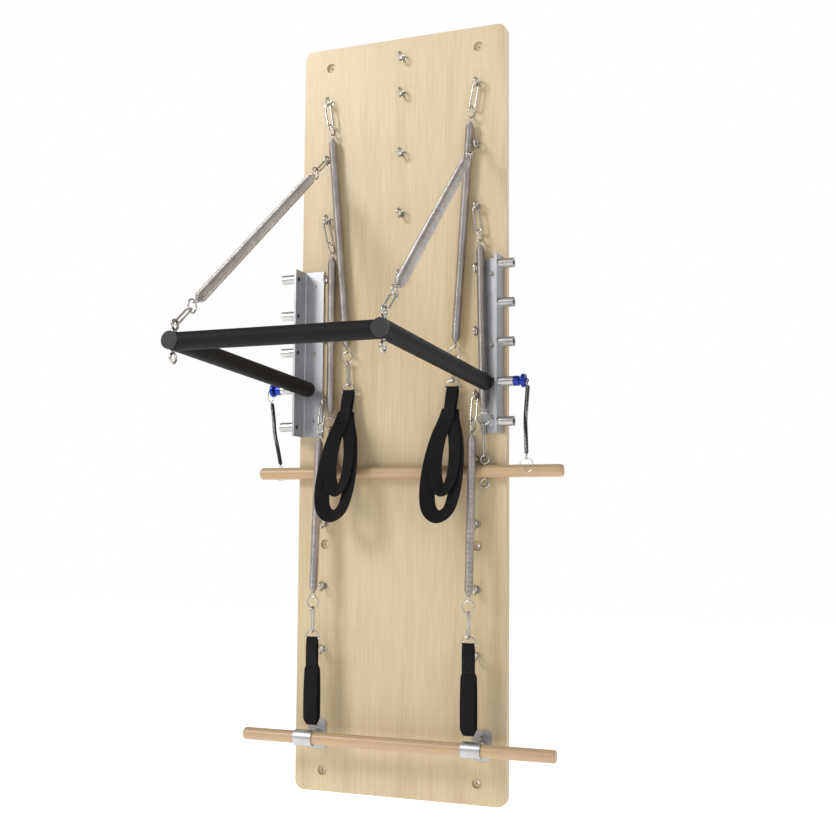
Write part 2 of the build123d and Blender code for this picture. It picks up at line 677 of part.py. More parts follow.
# ---- springs to the push-through bar ----
for side, chain in bar_chains.items():
    down = chain.coil_down
    wide, out = across(down), outward(down)
    with BuildPart() as top_links:
        add_hook(chain.top_crest, down, wide)
        add_ring(chain.top_ring, down, out, RING_RADIUS, RING_WIRE)
    save(top_links, f"bar_spring_{side}_top_links")
    with BuildPart() as spring:
        add_spring(chain.neck, down, chain.coil_length, wide, wide)
    save(spring, f"bar_spring_{side}")
    with BuildPart() as low_links:
        add_ring(chain.low_ring, down, out, RING_RADIUS, RING_WIRE)
        add_hook(chain.low_crest, down, wide)
    save(low_links, f"bar_spring_{side}_low_links")

# ---- arm and foot springs, with their D-rings ----
for name, chains in (("arm_spring", arm_chains), ("foot_spring", foot_chains)):
    for side, chain in chains.items():
        with BuildPart() as top_links:
            add_hook(chain.top_crest, chain.hook_down, across(chain.hook_down))
            add_ring(chain.top_ring, chain.hook_down, outward(chain.hook_down), RING_RADIUS, RING_WIRE)
        save(top_links, f"{name}_{side}_top_links")
        with BuildPart() as spring:
            down = chain.coil_down
            add_spring(chain.neck, down, chain.coil_length, across(down), outward(down))
        save(spring, f"{name}_{side}")
        with BuildPart() as low_links:
            add_ring(chain.low_ring, chain.link_down, across(chain.link_down), RING_RADIUS, RING_WIRE)
            add_hook(chain.low_crest, chain.link_down, outward(chain.link_down))
        save(low_links, f"{name}_{side}_low_links")

for (name, side), (top, down) in d_rings.items():
    with BuildPart() as d_ring:
        add_d_ring(top, down, across(down))
    save(d_ring, f"{name}_strap_{side}_d_ring")

# ---- hand and foot straps ----
for side, sign in SIDES.items():
    ring_top, ring_down = d_rings["hand", side]
    bar = ring_top + ring_down * D_RING_DROP
    wide = across(ring_down)
    lean = radians(HAND_LEAN)
    down = (ring_down * cos(lean) + outward(ring_down) * sin(lean)).normalized()
    plane = flat_plane(bar, down, wide)
    half = HAND_LOOP_WIDTH / 2
    low = -HAND_TAB - HAND_LOOP_LENGTH + half
    with BuildPart() as hand_strap:
        add_rod(bar - wide * (STRAP_WIDTH / 2), bar + wide * (STRAP_WIDTH / 2), STRAP_EYE)
        with BuildSketch(plane):
            with Locations((0, -HAND_TAB / 2)):
                Rectangle(STRAP_WIDTH, HAND_TAB)
        extrude(amount=STRAP_THICK / 2, both=True)
        with BuildSketch(plane):
            with BuildLine():
                Line((-HAND_ROOT, -HAND_TAB), (-half, low))
                ThreePointArc((-half, low), (0, low - half), (half, low))
                Line((half, low), (HAND_ROOT, -HAND_TAB))
                Line((HAND_ROOT, -HAND_TAB), (-HAND_ROOT, -HAND_TAB))
            make_face()
            offset(amount=-HAND_LOOP_THICK, mode=Mode.SUBTRACT)
        extrude(amount=HAND_LOOP_DEPTH / 2, both=True)
        with BuildSketch(Plane(origin=bar - wide * STRAP_WIDTH, z_dir=wide)):
            Circle(D_RING_WIRE / 2 + LINK_GAP)
        extrude(amount=2 * STRAP_WIDTH, mode=Mode.SUBTRACT)
    save(hand_strap, f"hand_strap_{side}")

    ring_top, ring_down = d_rings["foot", side]
    bar = ring_top + ring_down * D_RING_DROP
    pad_top = -FOOT_TAB
    with BuildPart() as foot_strap:
        start = bar - Vector(STRAP_WIDTH / 2, 0, 0)
        with BuildSketch(Plane(origin=start, x_dir=(0, 1, 0), z_dir=(1, 0, 0))):
            Circle(STRAP_EYE)
            with Locations((0, pad_top / 2)):
                Rectangle(STRAP_THICK, FOOT_TAB)
            Circle(D_RING_WIRE / 2 + LINK_GAP, mode=Mode.SUBTRACT)
        extrude(amount=STRAP_WIDTH)
        pad_start = bar - Vector(FOOT_PAD_WIDTH / 2, 0, 0)
        with BuildSketch(Plane(origin=pad_start, x_dir=(0, 1, 0), z_dir=(1, 0, 0))):
            with Locations((0, pad_top - FOOT_PAD_LENGTH / 2)):
                SlotOverall(FOOT_PAD_LENGTH, FOOT_PAD_DEPTH, rotation=90)
                inner_length = FOOT_PAD_LENGTH - 2 * FOOT_PAD_THICK
                inner_depth = FOOT_PAD_DEPTH - 2 * FOOT_PAD_THICK
                SlotOverall(inner_length, inner_depth, rotation=90, mode=Mode.SUBTRACT)
        extrude(amount=FOOT_PAD_WIDTH)
    save(foot_strap, f"foot_strap_{side}")

# ---- roll-down bar and its springs ----
with BuildPart() as roll_down_top_links:
    for chain in roll_chains.values():
        add_hook(chain.top_crest, chain.hook_down, across(chain.hook_down))
        add_ring(chain.top_ring, chain.hook_down, outward(chain.hook_down), RING_RADIUS, RING_WIRE)
save(roll_down_top_links, "roll_down_top_links")

with BuildPart() as roll_down_springs:
    for chain in roll_chains.values():
        down = chain.coil_down
        add_spring(chain.neck, down, chain.coil_length, across(down), outward(down))
save(roll_down_springs, "roll_down_springs")

with BuildPart() as roll_down_low_links:
    for chain in roll_chains.values():
        down = chain.link_down
        add_ring(chain.low_ring, down, across(down), RING_RADIUS, RING_WIRE)
        add_hook(chain.low_crest, down, outward(down), chain.low_hook)
save(roll_down_low_links, "roll_down_low_links")


def dowel(centre):
    """Wooden bar along X with rounded ends, added to the current part."""
    half = Vector(DOWEL_LENGTH / 2, 0, 0)
    add_rod(centre - half, centre + half, DOWEL_RADIUS)


roll_eyes = [Vector(ROLL_SHIFT + sign * ROLL_EYE_X, EYE_Y, ROLL_Z) for sign in SIDES.values()]
with BuildPart() as roll_down_bar:
    dowel(Vector(ROLL_SHIFT, EYE_Y, ROLL_Z))
    fillet(roll_down_bar.edges().filter_by(GeomType.CIRCLE), DOWEL_ROUND)
    for at in roll_eyes:
        with BuildSketch(Plane.XY.offset(ROLL_Z - DOWEL_RADIUS)):
            with Locations((at.X, at.Y)):
                Circle(EYE_SHANK / 2 + RUN_GAP)
        extrude(amount=2 * DOWEL_RADIUS, mode=Mode.SUBTRACT)
save(roll_down_bar, "roll_down_bar")

with BuildPart() as roll_down_eyebolts:
    for at in roll_eyes:
        reach = DOWEL_RADIUS + ROLL_EYE_RISE
        for end in (-1, 1):
            add_eye(at + Vector(0, 0, end * reach), Vector(0, 1, 0), Vector(0, 0, 1))
        stub = Vector(0, 0, reach - EYE_RADIUS)
        add_rod(at - stub, at + stub, EYE_SHANK / 2)
save(roll_down_eyebolts, "roll_down_eyebolts")

# ---- foot bar and its clamps ----
with BuildPart() as foot_bar:
    dowel(Vector(FOOT_BAR_SHIFT, FOOT_BAR_Y, FOOT_BAR_Z))
    fillet(foot_bar.edges().filter_by(GeomType.CIRCLE), DOWEL_ROUND)
save(foot_bar, "foot_bar")

for side, sign in SIDES.items():
    with BuildPart() as clamp:
        with BuildSketch(front_plane()):
            with Locations((sign * CLAMP_X, FOOT_BAR_Z)):
                RectangleRounded(CLAMP_PLATE_WIDTH, CLAMP_PLATE_HEIGHT, CLAMP_CORNER)
        extrude(amount=CLAMP_PLATE_THICK)
        with BuildSketch(front_plane()):
            with Locations((sign * CLAMP_X, FOOT_BAR_Z)):
                Circle(CLAMP_NECK)
        extrude(amount=FRONT - FOOT_BAR_Y)
        collar = Vector(sign * CLAMP_X, FOOT_BAR_Y, FOOT_BAR_Z)
        half = Vector(CLAMP_LENGTH / 2, 0, 0)
        add_rod(collar - half, collar + half, DOWEL_RADIUS + CLAMP_WALL)
        with BuildSketch(Plane(origin=collar - half, z_dir=(1, 0, 0))):
            Circle(DOWEL_RADIUS + RUN_GAP)
        extrude(amount=CLAMP_LENGTH, mode=Mode.SUBTRACT)
        with BuildSketch(front_plane()):
            with Locations(*[at for at in clamp_screws_at if at[0] * sign > 0]):
                Circle(SCREW_SHANK + RUN_GAP)
        extrude(amount=CLAMP_PLATE_THICK, mode=Mode.SUBTRACT)
    save(clamp, f"foot_bar_clamp_{side}")

with BuildPart() as clamp_screws:
    plate_front = FRONT - CLAMP_PLATE_THICK
    with BuildSketch(front_plane(plate_front)):
        with Locations(*clamp_screws_at):
            Circle(SCREW_SHANK)
    extrude(amount=-SCREW_LENGTH)
    with BuildSketch(front_plane(plate_front)):
        with Locations(*clamp_screws_at):
            Circle(SCREW_HEAD)
    extrude(amount=SCREW_HEAD_THICK, taper=HEAD_TAPER)
save(clamp_screws, "clamp_screws")
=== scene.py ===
from math import cos, pi, radians, sin

import bmesh
import bpy
from mathutils import Matrix, Quaternion, Vector


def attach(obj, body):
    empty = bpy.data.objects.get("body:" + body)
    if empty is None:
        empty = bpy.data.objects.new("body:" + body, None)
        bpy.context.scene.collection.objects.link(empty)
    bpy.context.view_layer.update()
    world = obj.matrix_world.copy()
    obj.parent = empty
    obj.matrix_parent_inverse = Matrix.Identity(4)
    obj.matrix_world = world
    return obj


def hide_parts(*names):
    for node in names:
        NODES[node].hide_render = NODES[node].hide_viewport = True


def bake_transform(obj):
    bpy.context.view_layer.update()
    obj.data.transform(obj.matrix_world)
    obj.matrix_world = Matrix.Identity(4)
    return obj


bl_info = {
    "name": "Pilates Spring Board",
    "version": (1, 0, 0),
    "blender": (4, 5, 0),
    "location": "View3D > Sidebar > Spring Board",
    "description": "Finishes a wall-mounted spring board with its springs, straps, lanyards and materials",
    "category": "Object",
}

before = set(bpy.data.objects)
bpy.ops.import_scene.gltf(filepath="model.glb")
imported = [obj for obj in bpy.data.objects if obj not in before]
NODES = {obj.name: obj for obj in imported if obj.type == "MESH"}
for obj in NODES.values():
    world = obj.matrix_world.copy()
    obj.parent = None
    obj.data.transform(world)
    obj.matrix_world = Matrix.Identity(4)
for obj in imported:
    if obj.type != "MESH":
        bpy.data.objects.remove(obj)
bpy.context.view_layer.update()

# Sizes shared with the frame, in metres
LOOP_MEAN = 0.007
SPRING_MEAN = 0.0099
BAR_SPRING_MEAN = 0.0124
SPRING_NECK = 0.0028
SPRING_TAPER = 0.018

# Points round a curve
EDGE_STEPS = 10
WIRE_SIDES = 7
EYE_SIDES = 10
EYE_STEPS = 28
CORD_STEPS = 16

# Webbing, in metres
WEAVE_ROW = 0.0016
WEBBING_THICK = 0.0018
LOOP_THICK = 0.0026
TAB_EYE = 0.0036
TAB_SPREAD_RUN = 0.02
TAB_STEPS = 14
FOLD_STEPS = 12
STITCH_PITCH = 0.0034
STITCH_ROW_GAP = 0.006


# ---------------------------------------------------------------- settings
class SpringSettings(bpy.types.PropertyGroup):
    """Sizes of the extension springs"""

    wire: bpy.props.FloatProperty(
        name="Wire", description="Diameter of the spring wire", default=0.0028, unit="LENGTH"
    )
    pitch: bpy.props.FloatProperty(
        name="Pitch", description="Distance from one turn to the next at rest", default=0.0031, unit="LENGTH"
    )
    steps: bpy.props.IntProperty(name="Steps per turn", description="Points in one turn of wire", default=14)


class StrapSettings(bpy.types.PropertyGroup):
    """Sizes and colour of the webbing straps"""

    tab: bpy.props.FloatProperty(
        name="Tab width", description="Width of the webbing at its D-ring", default=0.032, unit="LENGTH"
    )
    band: bpy.props.FloatProperty(
        name="Band width", description="Width of the padded hand band", default=0.040, unit="LENGTH"
    )
    colour: bpy.props.FloatVectorProperty(
        name="Webbing colour",
        description="Colour of the webbing and its padding",
        subtype="COLOR",
        size=4,
        default=(0.004, 0.0035, 0.004, 1),
    )


class LanyardSettings(bpy.types.PropertyGroup):
    """Sizes of the coiled lanyards"""

    cord: bpy.props.FloatProperty(
        name="Cord", description="Diameter of the plastic cord", default=0.0026, unit="LENGTH"
    )
    pitch: bpy.props.FloatProperty(
        name="Pitch", description="Distance from one turn to the next", default=0.0033, unit="LENGTH"
    )


class FinishSettings(bpy.types.PropertyGroup):
    """Colours of the board and its hardware"""

    veneer: bpy.props.FloatVectorProperty(
        name="Veneer",
        description="Lighter colour of the board's veneer",
        subtype="COLOR",
        size=4,
        default=(0.66, 0.535, 0.345, 1),
    )
    grain: bpy.props.FloatVectorProperty(
        name="Grain",
        description="Darker colour of the board's grain",
        subtype="COLOR",
        size=4,
        default=(0.56, 0.43, 0.25, 1),
    )
    knob: bpy.props.FloatVectorProperty(
        name="Knob",
        description="Colour of the anodised knobs",
        subtype="COLOR",
        size=4,
        default=(0.006, 0.025, 0.26, 1),
    )


# ---------------------------------------------------------------- materials
def blank_material(name):
    """New node material with only its shader and output, and the shader itself."""
    material = bpy.data.materials.new(name)
    material.use_nodes = True
    return material, material.node_tree.nodes["Principled BSDF"]


def add_node(material, kind, **values):
    """Node of that kind, with its properties set by name."""
    node = material.node_tree.nodes.new(kind)
    for name, value in values.items():
        setattr(node, name, value)
    return node


def wire_up(material, *pairs):
    """Link each (output socket, input socket) pair."""
    for source, target in pairs:
        material.node_tree.links.new(source, target)


def mapped(material, scale):
    """Object coordinates stretched by scale."""
    place = add_node(material, "ShaderNodeTexCoord")
    mapping = add_node(material, "ShaderNodeMapping")
    mapping.inputs["Scale"].default_value = scale
    wire_up(material, (place.outputs["Object"], mapping.inputs["Vector"]))
    return mapping.outputs["Vector"]


def ramp(material, factor, *stops):
    """Colour ramp with (position, colour) stops."""
    node = add_node(material, "ShaderNodeValToRGB")
    elements = node.color_ramp.elements
    elements[0].position, elements[0].color = stops[0]
    elements[1].position, elements[1].color = stops[-1]
    for position, colour in stops[1:-1]:
        element = elements.new(position)
        element.color = colour
    wire_up(material, (factor, node.inputs["Fac"]))
    return node.outputs["Color"]


def noise(material, vector, scale, detail=4.0, roughness=0.55):
    """Fac output of a noise texture."""
    node = add_node(material, "ShaderNodeTexNoise")
    node.inputs["Scale"].default_value = scale
    node.inputs["Detail"].default_value = detail
    node.inputs["Roughness"].default_value = roughness
    wire_up(material, (vector, node.inputs["Vector"]))
    return node.outputs["Fac"]


def spread(material, factor, low, high):
    """Factor stretched to run from low to high."""
    node = add_node(material, "ShaderNodeMapRange")
    node.inputs["To Min"].default_value = low
    node.inputs["To Max"].default_value = high
    wire_up(material, (factor, node.inputs["Value"]))
    return node.outputs["Result"]


def bump(material, shader, height, strength, distance):
    """Bump from a height, into the shader's normal."""
    node = add_node(material, "ShaderNodeBump")
    node.inputs["Strength"].default_value = strength
    node.inputs["Distance"].default_value = distance
    wire_up(material, (height, node.inputs["Height"]), (node.outputs["Normal"], shader.inputs["Normal"]))


def darker(colour, share):
    """Colour times share, with its alpha kept."""
    return (colour[0] * share, colour[1] * share, colour[2] * share, 1)


def wood_material(name, light, dark, along, roughness):
    """Lacquered wood whose grain runs along one axis: long figure, fine fibres and pores."""
    material, shader = blank_material(name)
    long, fine = [9.0, 9.0, 9.0], [420.0, 420.0, 420.0]
    long[along], fine[along] = 0.9, 9.0
    figure = noise(material, mapped(material, long), 1.0, 6.0, 0.6)
    fibre = noise(material, mapped(material, fine), 1.0, 3.0, 0.7)
    patch = noise(material, mapped(material, (1.4, 1.4, 0.7)), 1.0, 2.0)
    tone = ramp(material, figure, (0.32, dark), (0.5, light), (0.72, darker(dark, 1.12)))
    shade = ramp(material, fibre, (0.3, (0.84, 0.8, 0.76, 1)), (0.62, (1, 1, 1, 1)))
    wash = ramp(material, patch, (0.3, (0.9, 0.87, 0.84, 1)), (0.7, (1.0, 1.0, 1.0, 1)))
    first = add_node(material, "ShaderNodeMix", data_type="RGBA", blend_type="MULTIPLY")
    second = add_node(material, "ShaderNodeMix", data_type="RGBA", blend_type="MULTIPLY")
    for mix in (first, second):
        mix.inputs[0].default_value = 0.85
    wire_up(
        material,
        (tone, first.inputs[6]),
        (shade, first.inputs[7]),
        (first.outputs[2], second.inputs[6]),
        (wash, second.inputs[7]),
        (second.outputs[2], shader.inputs["Base Color"]),
        (spread(material, fibre, roughness - 0.06, roughness + 0.12), shader.inputs["Roughness"]),
    )
    shader.inputs["Coat Weight"].default_value = 0.18
    shader.inputs["Coat Roughness"].default_value = 0.32
    bump(material, shader, fibre, 0.12, 0.0004)
    return material


def metal_material(name, colour, roughness, scale, strength, wear):
    """Metal with brushing or handling marks, darkened in patches by wear."""
    material, shader = blank_material(name)
    marks = noise(material, mapped(material, scale), 1.0, 5.0, 0.65)
    patch = noise(material, mapped(material, (26, 26, 26)), 1.0, 3.0)
    tint = ramp(material, patch, (0.3, darker(colour, wear)), (0.66, colour))
    wire_up(
        material,
        (tint, shader.inputs["Base Color"]),
        (spread(material, marks, roughness - 0.1, roughness + 0.14), shader.inputs["Roughness"]),
    )
    shader.inputs["Metallic"].default_value = 1.0
    bump(material, shader, marks, strength, 0.0002)
    return material


def foam_material():
    """Closed-cell foam sleeve: matte black, with a fine cell texture and a dusty sheen."""
    material, shader = blank_material("Black foam sleeve")
    cells = add_node(material, "ShaderNodeTexVoronoi")
    cells.inputs["Scale"].default_value = 1300
    wire_up(material, (mapped(material, (1, 1, 1)), cells.inputs["Vector"]))
    scuff = noise(material, mapped(material, (18, 18, 18)), 1.0, 5.0)
    tint = ramp(material, scuff, (0.35, (0.003, 0.003, 0.003, 1)), (0.75, (0.009, 0.009, 0.009, 1)))
    wire_up(
        material,
        (tint, shader.inputs["Base Color"]),
        (spread(material, scuff, 0.55, 0.75), shader.inputs["Roughness"]),
    )
    shader.inputs["Specular IOR Level"].default_value = 0.22
    bump(material, shader, cells.outputs["Distance"], 0.25, 0.0003)
    return material


def plastic_material(name, colour, roughness):
    """Moulded plastic with a faint pebble and handling marks."""
    material, shader = blank_material(name)
    grain = noise(material, mapped(material, (900, 900, 900)), 1.0, 2.0)
    marks = noise(material, mapped(material, (40, 40, 40)), 1.0, 4.0)
    tint = ramp(material, marks, (0.3, colour), (0.75, darker(colour, 1.7)))
    wire_up(
        material,
        (tint, shader.inputs["Base Color"]),
        (spread(material, marks, roughness - 0.06, roughness + 0.1), shader.inputs["Roughness"]),
    )
    bump(material, shader, grain, 0.06, 0.0002)
    return material


def webbing_material(colour):
    """Woven webbing, from the strap's own UV map in metres: diagonal ribs, rows and a soft sheen."""
    material, shader = blank_material("Black webbing")
    scale = 1 / WEAVE_ROW / 2
    uv = add_node(material, "ShaderNodeUVMap", uv_map="UVMap")
    ribs = add_node(material, "ShaderNodeTexWave", bands_direction="DIAGONAL")
    ribs.inputs["Scale"].default_value = scale
    ribs.inputs["Distortion"].default_value = 0.6
    rows = add_node(material, "ShaderNodeTexWave", bands_direction="Y")
    rows.inputs["Scale"].default_value = scale
    height = add_node(material, "ShaderNodeMath", operation="MULTIPLY_ADD")
    fuzz = noise(material, mapped(material, (60, 60, 60)), 1.0, 5.0)
    tint = ramp(material, fuzz, (0.3, colour), (0.8, darker(colour, 2.6)))
    wire_up(
        material,
        (uv.outputs["UV"], ribs.inputs["Vector"]),
        (uv.outputs["UV"], rows.inputs["Vector"]),
        (ribs.outputs["Fac"], height.inputs[0]),
        (rows.outputs["Fac"], height.inputs[2]),
        (tint, shader.inputs["Base Color"]),
        (spread(material, fuzz, 0.72, 0.95), shader.inputs["Roughness"]),
    )
    height.inputs[1].default_value = 0.7
    shader.inputs["Sheen Weight"].default_value = 0.02
    shader.inputs["Sheen Roughness"].default_value = 0.5
    shader.inputs["Specular IOR Level"].default_value = 0.2
    bump(material, shader, height.outputs["Value"], 0.5, 0.0004)
    return material


def anodised_material(colour):
    """Dyed anodised aluminium with a turned surface."""
    material, shader = blank_material("Blue anodised knob")
    rings = noise(material, mapped(material, (1500, 60, 60)), 1.0, 2.0)
    patch = noise(material, mapped(material, (50, 50, 50)), 1.0, 3.0)
    tint = ramp(material, patch, (0.3, colour), (0.75, darker(colour, 1.5)))
    wire_up(
        material,
        (tint, shader.inputs["Base Color"]),
        (spread(material, rings, 0.2, 0.36), shader.inputs["Roughness"]),
    )
    shader.inputs["Metallic"].default_value = 0.75
    shader.inputs["Coat Weight"].default_value = 0.3
    shader.inputs["Coat Roughness"].default_value = 0.15
    bump(material, shader, rings, 0.05, 0.0001)
    return material


def floor_material():
    """Plain pale studio surface."""
    material, shader = blank_material("Pale studio surface")
    patch = noise(material, mapped(material, (2, 2, 2)), 1.0, 2.0)
    tint = ramp(material, patch, (0.3, (0.90, 0.90, 0.90, 1)), (0.7, (0.93, 0.93, 0.93, 1)))
    wire_up(material, (tint, shader.inputs["Base Color"]))
    shader.inputs["Roughness"].default_value = 0.85
    shader.inputs["Specular IOR Level"].default_value = 0.1
    shader.inputs["Emission Color"].default_value = (1, 1, 1, 1)
    shader.inputs["Emission Strength"].default_value = 0.7
    return material


# finish: (name, colour, roughness, closeness of its marks, their depth, brightness where worn)
METALS = {
    "aluminium": ("Brushed aluminium", (0.52, 0.53, 0.55, 1), 0.42, (60, 60, 1200), 0.15, 0.86),
    "clamp": ("Cast aluminium", (0.56, 0.56, 0.57, 1), 0.4, (300, 300, 300), 0.2, 0.8),
    "turned": ("Turned steel", (0.58, 0.57, 0.55, 1), 0.3, (1500, 40, 40), 0.12, 0.7),
    "zinc": ("Bright zinc", (0.66, 0.63, 0.57, 1), 0.22, (160, 160, 160), 0.1, 0.62),
    "spring": ("Spring wire", (0.56, 0.52, 0.49, 1), 0.36, (220, 220, 220), 0.06, 0.74),
}
# finish: (name, colour, roughness)
PLASTICS = {
    "black": ("Black plastic", (0.008, 0.008, 0.009, 1), 0.4),
    "cord": ("Black cord", (0.006, 0.006, 0.007, 1), 0.24),
    "thread": ("Stitching thread", (0.03, 0.03, 0.035, 1), 0.6),
}
BEECH_LIGHT = (0.54, 0.38, 0.22, 1)
BEECH_DARK = (0.43, 0.28, 0.15, 1)
ALONG_BAR, ALONG_BOARD = 0, 2
FINISHES = {}


def make_finish(name):
    """New material for one finish, in the colours of the settings where they have one."""
    colours = bpy.context.scene.spring_board_finish
    if name in METALS:
        return metal_material(*METALS[name])
    if name in PLASTICS:
        return plastic_material(*PLASTICS[name])
    if name == "veneer":
        return wood_material("Board veneer", tuple(colours.veneer), tuple(colours.grain), ALONG_BOARD, 0.42)
    if name == "beech":
        return wood_material("Bar beech", BEECH_LIGHT, BEECH_DARK, ALONG_BAR, 0.38)
    if name == "webbing":
        return webbing_material(tuple(bpy.context.scene.spring_board_straps.colour))
    if name == "anodised":
        return anodised_material(tuple(colours.knob))
    return {"foam": foam_material, "studio": floor_material}[name]()


def finish(name):
    """One of the object's finishes, made when it is first asked for."""
    if name not in FINISHES:
        FINISHES[name] = make_finish(name)
    return FINISHES[name]


# ---------------------------------------------------------------- mesh helpers
def new_object(name, mesh, material=None):
    """Object holding a mesh, at the origin."""
    piece = bpy.data.objects.new(name, mesh)
    bpy.context.scene.collection.objects.link(piece)
    if material:
        mesh.materials.append(material)
    return piece


def smooth(mesh):
    """Shade every face smooth."""
    mesh.polygons.foreach_set("use_smooth", [True] * len(mesh.polygons))


def section(width, thick):
    """Outline of webbing across its run: a flat band with round edges."""
    half, round_edge = width / 2, thick / 2
    points = []
    for start, middle in ((-pi / 2, half - round_edge), (pi / 2, -half + round_edge)):
        for step in range(EDGE_STEPS):
            turn = start + pi * step / (EDGE_STEPS - 1)
            points.append((middle + cos(turn) * round_edge, sin(turn) * round_edge))
    return points


def band(name, stations):
    """Webbing swept through stations of (centre, across, out, width, thick), with a UV map in metres."""
    mesh = bmesh.new()
    uv_layer = mesh.loops.layers.uv.new("UVMap")
    rows, places, travelled = [], [], 0.0
    for index, (centre, across, out, width, thick) in enumerate(stations):
        if index:
            travelled += (centre - stations[index - 1][0]).length
        outline = section(width, thick)
        rows.append([mesh.verts.new(centre + across * x + out * y) for x, y in outline])
        places.append([(x, travelled) for x, _ in outline])
    count = len(rows[0])
    for index in range(len(rows) - 1):
        for at in range(count):
            beside = (at + 1) % count
            corners = ((index, at), (index, beside), (index + 1, beside), (index + 1, at))
            face = mesh.faces.new([rows[row][column] for row, column in corners])
            for loop, (row, column) in zip(face.loops, corners):
                loop[uv_layer].uv = places[row][column]
    mesh.faces.new(list(reversed(rows[0])))
    mesh.faces.new(rows[-1])
    bmesh.ops.recalc_face_normals(mesh, faces=mesh.faces)
    data = bpy.data.meshes.new(name)
    mesh.to_mesh(data)
    mesh.free()
    smooth(data)
    return new_object(name, data, finish("webbing"))


def plain_mesh(piece):
    """Turn a piece's modifiers into its mesh, and take them off."""
    depsgraph = bpy.context.evaluated_depsgraph_get()
    data = bpy.data.meshes.new_from_object(piece.evaluated_get(depsgraph))
    data.name = piece.name
    piece.modifiers.clear()
    piece.data = data
    return piece


# ---------------------------------------------------------------- node groups
def new_group(name, **inputs):
    """Geometry node group with named inputs; a value's type decides the socket's."""
    group = bpy.data.node_groups.new(name, "GeometryNodeTree")
    group.interface.new_socket("Geometry", in_out="INPUT", socket_type="NodeSocketGeometry")
    for label, value in inputs.items():
        kinds = {int: "NodeSocketInt", float: "NodeSocketFloat", tuple: "NodeSocketVector"}
        kind = kinds.get(type(value), "NodeSocketMaterial")
        socket = group.interface.new_socket(label, in_out="INPUT", socket_type=kind)
        if value is not None:
            socket.default_value = value
    group.interface.new_socket("Geometry", in_out="OUTPUT", socket_type="NodeSocketGeometry")
    start, end = group.nodes.new("NodeGroupInput"), group.nodes.new("NodeGroupOutput")
    return group, start.outputs, end.inputs


def node_in(group, kind, **values):
    """Node of that kind in a group; values are properties or, with their names' spaces as _, inputs."""
    node = group.nodes.new(kind)
    for name, value in values.items():
        target = name.replace("_", " ")
        if hasattr(node, name):
            setattr(node, name, value)
        elif hasattr(value, "node"):
            group.links.new(value, node.inputs[target])
        else:
            node.inputs[target].default_value = value
    return node


def math_in(group, operation, *values):
    """Result of a math node on sockets or numbers."""
    node = group.nodes.new("ShaderNodeMath")
    node.operation = operation
    for index, value in enumerate(values):
        if hasattr(value, "node"):
            group.links.new(value, node.inputs[index])
        else:
            node.inputs[index].default_value = value
    return node.outputs[0]


def finish_group(group, geometry, material, out):
    """End a tree in Realize Instances and Set Material."""
    real = node_in(group, "GeometryNodeRealizeInstances", Geometry=geometry)
    shaded = node_in(group, "GeometryNodeSetShadeSmooth", Geometry=real.outputs[0])
    painted = node_in(group, "GeometryNodeSetMaterial", Geometry=shaded.outputs[0], Material=material)
    group.links.new(painted.outputs[0], out["Geometry"])
    return group


